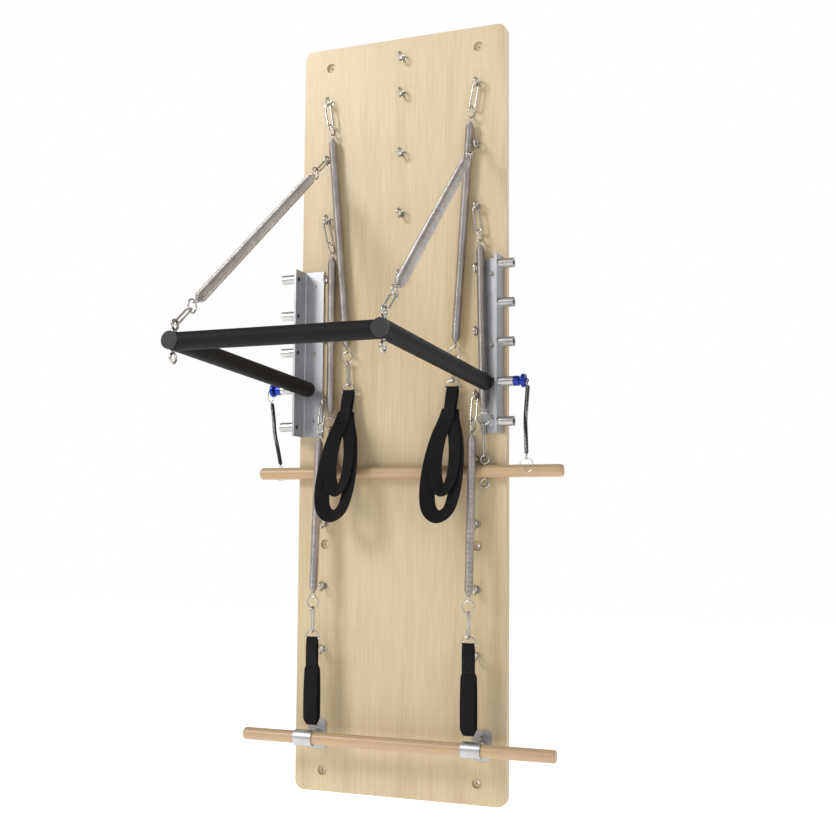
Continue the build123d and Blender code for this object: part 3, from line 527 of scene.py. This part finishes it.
def spring_group():
    """Closely wound spring hanging down its own -Z, with tapered ends and an eye at each end."""
    group, given, out = new_group(
        "Extension spring",
        Length=0.4,
        Coil=SPRING_MEAN,
        Neck=SPRING_NECK,
        Taper=SPRING_TAPER,
        Wire=0.0028,
        Turns=120.0,
        Steps=14,
        Lower_eye_turn=0.0,
        Place=(0.0, 0.0, 0.0),
        Heading=(0.0, 0.0, 0.0),
        Metal=None,
    )
    wound = node_in(group, "GeometryNodeCurveSpiral", Resolution=given["Steps"], Rotations=given["Turns"])
    wound.inputs["Start Radius"].default_value = 1.0
    wound.inputs["End Radius"].default_value = 1.0
    group.links.new(given["Length"], wound.inputs["Height"])
    place = group.nodes.new("GeometryNodeInputPosition")
    split = node_in(group, "ShaderNodeSeparateXYZ", Vector=place.outputs[0])
    from_top = math_in(group, "SUBTRACT", given["Length"], split.outputs["Z"])
    nearest = math_in(group, "MINIMUM", from_top, split.outputs["Z"])
    share = math_in(group, "DIVIDE", nearest, given["Taper"])
    inside = node_in(group, "ShaderNodeClamp", Value=share)
    widening = math_in(group, "SUBTRACT", given["Coil"], given["Neck"])
    bowed = math_in(group, "SINE", math_in(group, "MULTIPLY", inside.outputs[0], pi / 2))
    radius = math_in(group, "MULTIPLY_ADD", bowed, widening, given["Neck"])
    moved = node_in(
        group,
        "ShaderNodeCombineXYZ",
        X=math_in(group, "MULTIPLY", split.outputs["X"], radius),
        Y=math_in(group, "MULTIPLY", split.outputs["Y"], radius),
        Z=math_in(group, "MULTIPLY", split.outputs["Z"], -1.0),
    )
    shaped = node_in(group, "GeometryNodeSetPosition", Geometry=wound.outputs[0], Position=moved.outputs[0])
    wire_radius = math_in(group, "MULTIPLY", given["Wire"], 0.5)
    profile = node_in(group, "GeometryNodeCurvePrimitiveCircle", Resolution=WIRE_SIDES, Radius=wire_radius)
    coil = node_in(group, "GeometryNodeCurveToMesh", Curve=shaped.outputs[0])
    group.links.new(profile.outputs[0], coil.inputs["Profile Curve"])
    coil.inputs["Fill Caps"].default_value = True
    eye_path = node_in(group, "GeometryNodeCurvePrimitiveCircle", Resolution=EYE_STEPS, Radius=LOOP_MEAN)
    eye_profile = node_in(group, "GeometryNodeCurvePrimitiveCircle", Resolution=EYE_SIDES, Radius=wire_radius)
    eye = node_in(group, "GeometryNodeCurveToMesh", Curve=eye_path.outputs[0])
    group.links.new(eye_profile.outputs[0], eye.inputs["Profile Curve"])
    top = node_in(
        group,
        "GeometryNodeTransform",
        Geometry=eye.outputs[0],
        Translation=(0, 0, LOOP_MEAN),
        Rotation=(pi / 2, 0, 0),
    )
    low_place = node_in(
        group, "ShaderNodeCombineXYZ", Z=math_in(group, "SUBTRACT", -LOOP_MEAN, given["Length"])
    )
    low_turn = node_in(group, "ShaderNodeCombineXYZ", X=pi / 2, Z=given["Lower_eye_turn"])
    low = node_in(group, "GeometryNodeTransform", Geometry=eye.outputs[0])
    group.links.new(low_place.outputs[0], low.inputs["Translation"])
    group.links.new(low_turn.outputs[0], low.inputs["Rotation"])
    joined = group.nodes.new("GeometryNodeJoinGeometry")
    for part in (coil, top, low):
        group.links.new(part.outputs[0], joined.inputs[0])
    hung = node_in(
        group,
        "GeometryNodeTransform",
        Geometry=joined.outputs[0],
        Translation=given["Place"],
        Rotation=given["Heading"],
    )
    return finish_group(group, hung.outputs[0], given["Metal"], out)


def row_group():
    """One small piece on each vertex of the object's mesh, turned to the vertex's normal."""
    group, given, out = new_group(
        "Rows of small pieces", Width=0.0006, Length=0.0024, Height=0.0005, Finish=None
    )
    spot = node_in(group, "GeometryNodeInputNamedAttribute", data_type="FLOAT_VECTOR", Name="outward")
    box = node_in(group, "ShaderNodeCombineXYZ", X=given["Length"], Y=given["Width"], Z=given["Height"])
    thread = node_in(group, "GeometryNodeMeshIcoSphere", Radius=0.5, Subdivisions=2)
    sized = node_in(group, "GeometryNodeTransform", Geometry=thread.outputs[0], Scale=box.outputs[0])
    facing = node_in(group, "FunctionNodeAlignRotationToVector", axis="Z", Vector=spot.outputs[0])
    along = node_in(group, "GeometryNodeInputNamedAttribute", data_type="FLOAT_VECTOR", Name="run")
    turned = node_in(group, "FunctionNodeAlignRotationToVector", axis="X", pivot_axis="Z")
    group.links.new(facing.outputs[0], turned.inputs["Rotation"])
    group.links.new(along.outputs[0], turned.inputs["Vector"])
    placed = node_in(
        group,
        "GeometryNodeInstanceOnPoints",
        Points=given["Geometry"],
        Instance=sized.outputs[0],
        Rotation=turned.outputs[0],
    )
    return finish_group(group, placed.outputs[0], given["Finish"], out)


def grow(piece, group, **inputs):
    """Run a node group on a piece with its inputs set, and keep the result as a plain mesh."""
    modifier = piece.modifiers.new(group.name, "NODES")
    modifier.node_group = group
    names = {item.name: item.identifier for item in group.interface.items_tree if item.in_out == "INPUT"}
    for name, value in inputs.items():
        modifier[names[name]] = value
    return plain_mesh(piece)


def shared_group(name, maker):
    """Node group of that name, made once."""
    return bpy.data.node_groups.get(name) or maker()


def level_across(down):
    """Direction across the board, square to the way that a piece hangs."""
    return (Vector((1, 0, 0)) - down * down.x).normalized()


def hook_spring(name, top, down, length, lower_turn, coil):
    """Spring whose upper neck is at top and which hangs along down."""
    sizes = bpy.context.scene.spring_board_springs
    turn = down.to_track_quat("-Z", "Y")
    swing = turn @ Vector((1, 0, 0))
    wide = level_across(down)
    twist = swing.angle(wide) * (1 if swing.cross(wide).dot(-down) > 0 else -1)
    turn = Quaternion(-down, twist) @ turn
    piece = new_object(name, bpy.data.meshes.new(name))
    return grow(
        piece,
        shared_group("Extension spring", spring_group),
        Length=length,
        Coil=coil,
        Wire=sizes.wire,
        Turns=round(length / sizes.pitch),
        Steps=sizes.steps,
        Lower_eye_turn=lower_turn,
        Place=tuple(top),
        Heading=tuple(turn.to_euler()),
        Metal=finish("spring"),
    )


# ---------------------------------------------------------------- springs
# name: (bodies that hold its ends, upper neck, lower neck, turn of the lower eye, CAD node)
SPRINGS = {
    "arm_spring_left_coil": (
        ("arm_spring_left", "arm_link_left"),
        (-0.19869, -0.038, 0.73934),
        (-0.14814, -0.038, 0.16155),
        pi / 2,
        "arm_spring_left",
    ),
    "arm_spring_right_coil": (
        ("arm_spring_right", "arm_link_right"),
        (0.19891, -0.038, 0.73933),
        (0.16047, -0.038, 0.16061),
        pi / 2,
        "arm_spring_right",
    ),
    "bar_spring_left_coil": (
        ("bar_hook_left", "bar_coil_left"),
        (-0.21853, -0.12003, 0.61224),
        (-0.24597, -0.62087, 0.19364),
        0,
        "bar_spring_left",
    ),
    "bar_spring_right_coil": (
        ("bar_hook_right", "bar_coil_right"),
        (0.21853, -0.12003, 0.61224),
        (0.24597, -0.62087, 0.19364),
        0,
        "bar_spring_right",
    ),
    "roll_down_spring_left_coil": (
        ("wall_board", "roll_down"),
        (-0.19484, -0.038, 0.4119),
        (-0.1942, -0.038, -0.012),
        0,
        "roll_down_springs",
    ),
    "roll_down_spring_right_coil": (
        ("wall_board", "roll_down"),
        (0.22758, -0.038, 0.4106),
        (0.2371, -0.038, -0.012),
        0,
        "roll_down_springs",
    ),
    "foot_spring_left_coil": (
        ("foot_spring_left",),
        (-0.2145, -0.06124, -0.0803),
        (-0.2145, -0.0852, -0.48359),
        0,
        "foot_spring_left",
    ),
    "foot_spring_right_coil": (
        ("foot_spring_right",),
        (0.2145, -0.06124, -0.0803),
        (0.2145, -0.0852, -0.48359),
        0,
        "foot_spring_right",
    ),
}


class AddSprings(bpy.types.Operator):
    """Wind the eight extension springs, each tapered to an eye at both ends"""

    bl_idname = "spring_board.springs"
    bl_label = "Springs"

    def execute(self, context):
        for name, (bodies, top, low, lower_turn, node) in SPRINGS.items():
            start, end = Vector(top), Vector(low)
            down = (end - start).normalized()
            coil = BAR_SPRING_MEAN if node.startswith("bar_spring") else SPRING_MEAN
            piece = hook_spring(name, start, down, (end - start).length, lower_turn, coil)
            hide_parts(node)
            if len(bodies) == 1:
                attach(piece, bodies[0])
            else:
                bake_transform(piece)
        return {"FINISHED"}


# ---------------------------------------------------------------- straps
class Hang:
    """A strap's own frame: its top, the way it hangs, the way across it and the way out of the wall."""

    def __init__(self, top, down):
        self.top = Vector(top)
        self.down = Vector(down).normalized()
        self.across = level_across(self.down)
        self.out = self.down.cross(self.across)
        if self.out.y > 0:
            self.out = -self.out

    def at(self, across, out, down):
        """Point at those distances from the top."""
        return self.top + self.across * across + self.out * out + self.down * down

    def way(self, across, out, down):
        """Direction made of those shares."""
        return (self.across * across + self.out * out + self.down * down).normalized()


def path_points(corners, steps):
    """Points along a smooth curve through the corners, evenly split between each pair."""
    points = []
    for index in range(len(corners) - 1):
        before = corners[max(index - 1, 0)]
        after = corners[min(index + 2, len(corners) - 1)]
        first, second = corners[index], corners[index + 1]
        for step in range(steps):
            t = step / steps
            point = []
            for a, b, c, d in zip(before, first, second, after):
                bend = 2 * b + (c - a) * t + (2 * a - 5 * b + 4 * c - d) * t * t
                point.append((bend + (3 * b - a - 3 * c + d) * t * t * t) / 2)
            points.append(point)
    points.append(list(corners[-1]))
    return points


def tab_band(name, hang, width, low_width, length, spread_out):
    """Webbing folded over a ring's bar, hanging down in front of it and behind it."""

    def station(side, down):
        out = TAB_EYE + (spread_out - TAB_EYE) * min(1, down / TAB_SPREAD_RUN)
        wide = width + (low_width - width) * down / length
        return hang.at(0, side * out, down), hang.across, side * hang.out, wide, WEBBING_THICK

    stations = [station(1, length * (1 - step / TAB_STEPS)) for step in range(TAB_STEPS + 1)]
    for step in range(1, FOLD_STEPS):
        turn = pi * step / FOLD_STEPS
        facing = hang.way(0, cos(turn), -sin(turn))
        place = hang.at(0, TAB_EYE * cos(turn), -TAB_EYE * sin(turn))
        stations.append((place, hang.across, facing, width, WEBBING_THICK))
    stations += [station(-1, length * step / TAB_STEPS) for step in range(TAB_STEPS + 1)]
    return band(name, stations)


def run_at(points, index):
    """Direction of a flat path at one of its points."""
    before, after = points[max(index - 1, 0)], points[min(index + 1, len(points) - 1)]
    return Vector((after[0] - before[0], after[1] - before[1])).normalized()


def flared_loop(name, hang, corners, width, front, back):
    """Open-ended band through corners of (across, down), flared so that its outer edge comes forward.

    Its two ends lie in a tab, at depths front and back."""
    points = path_points(corners, HAND_STEPS)
    stations = []
    for index, (across, down) in enumerate(points):
        run = run_at(points, index)
        share = index / (len(points) - 1)
        low = sin(pi * share) ** 2
        tilt = radians(END_FLARE + (LOW_FLARE - END_FLARE) * low)
        depth = front + (back - front) * share
        edge = hang.way(-run.y * cos(tilt), sin(tilt), run.x * cos(tilt))
        face = hang.way(run.y * sin(tilt), cos(tilt), -run.x * sin(tilt))
        stations.append((hang.at(across, depth, down), edge, face, width, LOOP_THICK))
    return band(name, stations)


def stitches(name, hang, rows, depth):
    """Rows of thread across a tab, front and back, each row from (across, down) to (across, down)."""
    spots, outs, runs = [], [], []
    for side in (1, -1):
        for start, end in rows:
            begin, stop = Vector(start), Vector(end)
            way = (stop - begin).normalized()
            for step in range(int((stop - begin).length / STITCH_PITCH)):
                at = begin + way * (STITCH_PITCH * (step + 0.5))
                spots.append(hang.at(at.x, side * depth, at.y))
                outs.append(tuple(hang.out * side))
                runs.append(tuple(hang.way(way.x, 0, way.y)))
    mesh = bpy.data.meshes.new(name)
    mesh.from_pydata(spots, [], [])
    for label, values in (("outward", outs), ("run", runs)):
        layer = mesh.attributes.new(label, "FLOAT_VECTOR", "POINT")
        layer.data.foreach_set("vector", [number for value in values for number in value])
    piece = new_object(name, mesh)
    return grow(piece, shared_group("Rows of small pieces", row_group), Finish=finish("thread"))


def stitch_rows(half, top, low):
    """A box of stitching with a cross in it, and a row across above it."""
    corners = ((-half, top), (half, top), (half, low), (-half, low))
    sides = [(corners[index], corners[(index + 1) % 4]) for index in range(4)]
    crosses = [(corners[0], corners[2]), (corners[1], corners[3])]
    above = top - STITCH_ROW_GAP
    return sides + crosses + [((-half, above), (half, above))]


def finish_strap(strap, tab, bands, thread):
    """Hang a strap's pieces on its body, with its stitching on its tab."""
    for piece in (tab, *bands, thread):
        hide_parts(strap)
        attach(piece, strap)
    thread.parent = tab
    thread.matrix_parent_inverse = Matrix.Identity(4)


# D-ring bar of each hand strap, and the way that both hang
HAND_TOPS = {"left": (-0.14039, -0.038, 0.04493), "right": (0.15334, -0.038, 0.04383)}
HAND_DOWN = (-0.0340, -0.2250, -0.9738)
HAND_TAB_LOW_WIDTH = 0.029
HAND_TAB_SPREAD = 0.0062
HAND_STITCH_DEPTH = 0.0072
# Half width, top and foot of the box of stitching
HAND_STITCHES = (0.011, 0.056, 0.080)
HAND_STEPS = 12
INNER_SHARE = 0.85
# Depths in the tab of each loop's two ends
OUTER_DEPTHS = (0.0014, -0.0042)
INNER_DEPTHS = (0.0044, -0.0014)
END_FLARE, LOW_FLARE = 2, 24
HAND_TAB = 0.088
# Centre lines of the two hand loops, as (across, down)
HAND_OUTER = (
    (-0.002, 0.060),
    (-0.010, 0.092),
    (-0.025, 0.140),
    (-0.035, 0.205),
    (-0.036, 0.272),
    (-0.026, 0.320),
    (0.000, 0.339),
    (0.026, 0.320),
    (0.036, 0.272),
    (0.035, 0.205),
    (0.025, 0.140),
    (0.010, 0.092),
    (0.002, 0.060),
)
HAND_INNER = (
    (-0.001, 0.062),
    (-0.008, 0.094),
    (-0.018, 0.135),
    (-0.022, 0.185),
    (-0.018, 0.232),
    (-0.008, 0.262),
    (0.006, 0.274),
    (0.019, 0.258),
    (0.026, 0.225),
    (0.026, 0.180),
    (0.020, 0.135),
    (0.009, 0.094),
    (0.001, 0.062),
)


class AddHandStraps(bpy.types.Operator):
    """Sew the two double-loop hand straps"""

    bl_idname = "spring_board.hand_straps"
    bl_label = "Hand straps"

    def execute(self, context):
        sizes = context.scene.spring_board_straps
        inner_band = sizes.band * INNER_SHARE
        for side, top in HAND_TOPS.items():
            hang, strap = Hang(top, HAND_DOWN), f"hand_strap_{side}"
            tab = tab_band(f"{strap}_tab", hang, sizes.tab, HAND_TAB_LOW_WIDTH, HAND_TAB, HAND_TAB_SPREAD)
            outer = flared_loop(f"{strap}_outer_loop", hang, HAND_OUTER, sizes.band, *OUTER_DEPTHS)
            inner = flared_loop(f"{strap}_inner_loop", hang, HAND_INNER, inner_band, *INNER_DEPTHS)
            thread = stitches(f"{strap}_stitching", hang, stitch_rows(*HAND_STITCHES), HAND_STITCH_DEPTH)
            finish_strap(strap, tab, (outer, inner), thread)
        return {"FINISHED"}


FOOT_TOPS = {"left": (-0.2145, -0.08579, -0.60057), "right": (0.2145, -0.08579, -0.60057)}
FOOT_DOWN = (0, 0, -1)
FOOT_TAB = 0.074
FOOT_TAB_WIDTH = 0.031
FOOT_TAB_SPREAD = 0.0052
FOOT_STITCH_DEPTH = 0.0062
FOOT_STITCHES = (0.012, 0.040, 0.066)
FOOT_STEPS = 8
# Centre line of the foot pad, as (out, down)
FOOT_PAD = (
    (0.0024, 0.048),
    (0.0024, 0.064),
    (0.0070, 0.090),
    (0.0095, 0.140),
    (0.0095, 0.190),
    (0.0070, 0.212),
    (0.0, 0.219),
    (-0.0070, 0.212),
    (-0.0095, 0.190),
    (-0.0095, 0.140),
    (-0.0070, 0.090),
    (-0.0024, 0.064),
    (-0.0024, 0.048),
)
# The padding starts at PAD_TOP and ends at PAD_LOW, and takes these lengths to reach its full size
PAD_TOP, PAD_TOP_RUN = 0.062, 0.016
PAD_LOW, PAD_LOW_RUN = 0.216, 0.012
PAD_BARE_WIDTH, PAD_EXTRA_WIDTH = 0.028, 0.011
PAD_EXTRA_THICK = 0.0032
PAD_ACROSS = 0.001


class AddFootStraps(bpy.types.Operator):
    """Sew the two padded foot straps"""

    bl_idname = "spring_board.foot_straps"
    bl_label = "Foot straps"

    def execute(self, context):
        points = path_points(FOOT_PAD, FOOT_STEPS)
        for side, top in FOOT_TOPS.items():
            hang, strap = Hang(top, FOOT_DOWN), f"foot_strap_{side}"
            tab = tab_band(f"{strap}_tab", hang, FOOT_TAB_WIDTH, FOOT_TAB_WIDTH, FOOT_TAB, FOOT_TAB_SPREAD)
            stations = []
            for index, (out, down) in enumerate(points):
                run = run_at(points, index)
                share = max(0.0, min(1.0, (down - PAD_TOP) / PAD_TOP_RUN, (PAD_LOW - down) / PAD_LOW_RUN))
                wide = PAD_BARE_WIDTH + PAD_EXTRA_WIDTH * share
                thick = LOOP_THICK + PAD_EXTRA_THICK * share
                facing = hang.way(0, -run.y, run.x)
                stations.append((hang.at(PAD_ACROSS, out, down), hang.across, facing, wide, thick))
            pad = band(f"{strap}_pad", stations)
            thread = stitches(f"{strap}_stitching", hang, stitch_rows(*FOOT_STITCHES), FOOT_STITCH_DEPTH)
            finish_strap(strap, tab, (pad,), thread)
        return {"FINISHED"}


# ---------------------------------------------------------------- lanyards
LANYARDS = {
    "left": (
        (-0.3605, -0.05768, 0.020),
        (-0.3585, -0.04828, -0.020),
        (-0.3615, -0.03888, -0.060),
        (-0.3575, -0.02496, -0.102),
        (-0.3615, -0.00104, -0.144),
    ),
    "right": (
        (0.3635, -0.070, 0.040),
        (0.3625, -0.077, -0.002),
        (0.3605, -0.083, -0.045),
        (0.3605, -0.078, -0.088),
        (0.3585, -0.067, -0.131),
    ),
}
# Distance of the cord's centre from the middle of its coil
COIL_REACH = 0.0044
ROUTE_STEPS = 24


def spline_points(route):
    """Even points along the smooth route, read off its own curve."""
    curve = bpy.data.curves.new("route", "CURVE")
    curve.dimensions = "3D"
    curve.resolution_u = ROUTE_STEPS
    spline = curve.splines.new("NURBS")
    spline.points.add(len(route) - 1)
    for point, place in zip(spline.points, route):
        point.co = (*place, 1)
    spline.order_u = 3
    spline.use_endpoint_u = True
    carrier = bpy.data.objects.new("route", curve)
    bpy.context.scene.collection.objects.link(carrier)
    depsgraph = bpy.context.evaluated_depsgraph_get()
    mesh = bpy.data.meshes.new_from_object(carrier.evaluated_get(depsgraph))
    points = [vertex.co.copy() for vertex in mesh.vertices]
    bpy.data.objects.remove(carrier)
    bpy.data.curves.remove(curve)
    bpy.data.meshes.remove(mesh)
    return points


def walk(points, distance):
    """Point and direction at a distance along a line of points."""
    for first, second in zip(points, points[1:]):
        length = (second - first).length
        if distance <= length or second is points[-1]:
            way = (second - first).normalized()
            return first + way * min(distance, length), way
        distance -= length


class AddLanyards(bpy.types.Operator):
    """Coil the two plastic lanyards that hang from the pin knobs"""

    bl_idname = "spring_board.lanyards"
    bl_label = "Lanyards"

    def execute(self, context):
        sizes = context.scene.spring_board_lanyards
        for side, route in LANYARDS.items():
            middle = spline_points(route)
            total = sum((b - a).length for a, b in zip(middle, middle[1:]))
            turns = total / sizes.pitch
            count = int(turns * CORD_STEPS)
            helix = []
            for step in range(count + 1):
                along = total * step / count
                centre, way = walk(middle, along)
                wide = level_across(way)
                deep = way.cross(wide)
                turn = 2 * pi * turns * step / count
                radius = COIL_REACH * min(1, along / sizes.pitch, (total - along) / sizes.pitch)
                helix.append(centre + (wide * cos(turn) + deep * sin(turn)) * radius)
            curve = bpy.data.curves.new(f"lanyard_{side}_cord", "CURVE")
            curve.dimensions = "3D"
            curve.bevel_depth = sizes.cord / 2
            curve.bevel_resolution = 2
            curve.use_fill_caps = True
            spline = curve.splines.new("POLY")
            spline.points.add(len(helix) - 1)
            for point, place in zip(spline.points, helix):
                point.co = (*place, 1)
            curve.materials.append(finish("cord"))
            piece = bpy.data.objects.new(f"lanyard_{side}_cord", curve)
            context.scene.collection.objects.link(piece)
            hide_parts(f"lanyard_{side}")
            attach(piece, f"pin_{side}")
        return {"FINISHED"}


# ---------------------------------------------------------------- finishes
SLOT_FINISHES = {
    "board_wood": "veneer",
    "bar_wood": "beech",
    "bracket_aluminium": "aluminium",
    "clamp_aluminium": "clamp",
    "bush_steel": "turned",
    "sleeve_foam": "foam",
    "black_plastic": "black",
    "tube_steel": "turned",
    "knob_anodised": "anodised",
    "link_steel": "zinc",
    "cord_plastic": "cord",
    "strap_webbing": "webbing",
    "spring_steel": "spring",
    "fastener_steel": "zinc",
}


class ApplyFinishes(bpy.types.Operator):
    """Give every solid of the board its finish"""

    bl_idname = "spring_board.finishes"
    bl_label = "Finishes"

    def execute(self, context):
        unknown = set()
        for node in NODES.values():
            for place in node.material_slots:
                base = place.material.name.split(".")[0]
                if base not in SLOT_FINISHES:
                    unknown.add(base)
                    continue
                place.material = finish(SLOT_FINISHES[base])
        if unknown:
            raise RuntimeError(f"no finish for the materials {sorted(unknown)}")
        return {"FINISHED"}


# ---------------------------------------------------------------- stage
FLOOR_REACH = 12.0
FLOOR_LEVEL = -1.35
# Strength of the surroundings as light, and as the background that is seen
WORLD_LIGHT = 0.42
WORLD_SEEN = 1.0
# Camera: place in metres, angles round, up and tilted in degrees, lens and sensor in millimetres
CAMERA_PLACE = (1.238, -2.9646, -0.3194)
CAMERA_ANGLES = (21.965, 5.224, 0.371)
CAMERA_LENS = 52.72
CAMERA_SENSOR = 36.0


def area_light(name, place, target, size, power):
    """Square soft light that faces a point."""
    data = bpy.data.lights.new(name, "AREA")
    data.size = size
    data.energy = power
    lamp = bpy.data.objects.new(name, data)
    bpy.context.scene.collection.objects.link(lamp)
    lamp.location = place
    lamp.rotation_euler = (Vector(target) - Vector(place)).to_track_quat("-Z", "Y").to_euler()
    return lamp


class SetStage(bpy.types.Operator):
    """Set the pale floor, the soft lights and the camera"""

    bl_idname = "spring_board.stage"
    bl_label = "Stage"

    def execute(self, context):
        mesh = bpy.data.meshes.new("Floor")
        ways = ((-1, -1), (1, -1), (1, 1), (-1, 1))
        corners = [(x * FLOOR_REACH, y * FLOOR_REACH, FLOOR_LEVEL) for x, y in ways]
        mesh.from_pydata(corners, [], [(0, 1, 2, 3)])
        floor = new_object("floor", mesh, finish("studio"))
        key = area_light("Key", (-2.6, -3.4, 2.6), (0, 0, 0), 1.4, 120)
        fill = area_light("Fill", (3.2, -3.0, 0.8), (0, 0, -0.2), 2.4, 22)
        back = area_light("Back", (0.5, 3.4, 2.4), (0, 0, 0), 2.4, 40)
        world = bpy.data.worlds.new("Studio")
        world.use_nodes = True
        tree = world.node_tree
        background = tree.nodes["Background"]
        background.inputs["Color"].default_value = (1.0, 1.0, 1.0, 1)
        rays = tree.nodes.new("ShaderNodeLightPath")
        strength = tree.nodes.new("ShaderNodeMapRange")
        strength.inputs["To Min"].default_value = WORLD_LIGHT
        strength.inputs["To Max"].default_value = WORLD_SEEN
        tree.links.new(rays.outputs["Is Camera Ray"], strength.inputs["Value"])
        tree.links.new(strength.outputs["Result"], background.inputs["Strength"])
        context.scene.world = world
        turn, rise, roll = (radians(angle) for angle in CAMERA_ANGLES)
        ahead = Vector((-sin(turn) * cos(rise), cos(turn) * cos(rise), sin(rise)))
        right = Vector((cos(turn), sin(turn), 0))
        above = right.cross(ahead)
        right_rolled = right * cos(roll) + above * sin(roll)
        above_rolled = above * cos(roll) - right * sin(roll)
        data = bpy.data.cameras.new("Camera")
        data.lens = CAMERA_LENS
        data.sensor_width = CAMERA_SENSOR
        camera = bpy.data.objects.new("Camera", data)
        context.scene.collection.objects.link(camera)
        facing = Matrix((right_rolled, above_rolled, -ahead)).transposed()
        camera.matrix_world = Matrix.Translation(CAMERA_PLACE) @ facing.to_4x4()
        context.scene.camera = camera
        context.scene.view_settings.view_transform = "Standard"
        return {"FINISHED"}


# ---------------------------------------------------------------- panel
class SpringBoardPanel(bpy.types.Panel):
    """Steps that finish the spring board"""

    bl_idname = "VIEW3D_PT_spring_board"
    bl_label = "Spring Board"
    bl_space_type = "VIEW_3D"
    bl_region_type = "UI"
    bl_category = "Spring Board"

    def draw(self, context):
        for group in (
            context.scene.spring_board_springs,
            context.scene.spring_board_straps,
            context.scene.spring_board_lanyards,
            context.scene.spring_board_finish,
        ):
            for name in group.bl_rna.properties.keys():
                if name not in {"rna_type", "name"}:
                    self.layout.prop(group, name)
        for step in STEPS:
            self.layout.operator(step.bl_idname)


STEPS = (ApplyFinishes, AddSprings, AddHandStraps, AddFootStraps, AddLanyards, SetStage)
SETTINGS = {
    "spring_board_springs": SpringSettings,
    "spring_board_straps": StrapSettings,
    "spring_board_lanyards": LanyardSettings,
    "spring_board_finish": FinishSettings,
}


def register():
    for name, group in SETTINGS.items():
        bpy.utils.register_class(group)
        setattr(bpy.types.Scene, name, bpy.props.PointerProperty(type=group))
    for kind in (*STEPS, SpringBoardPanel):
        bpy.utils.register_class(kind)


def unregister():
    for kind in reversed((*STEPS, SpringBoardPanel)):
        bpy.utils.unregister_class(kind)
    for name, group in reversed(SETTINGS.items()):
        delattr(bpy.types.Scene, name)
        bpy.utils.unregister_class(group)


def main():
    register()
    for step in STEPS:
        family, name = step.bl_idname.split(".")
        getattr(getattr(bpy.ops, family), name)()


if __name__ == "__main__":
    main()
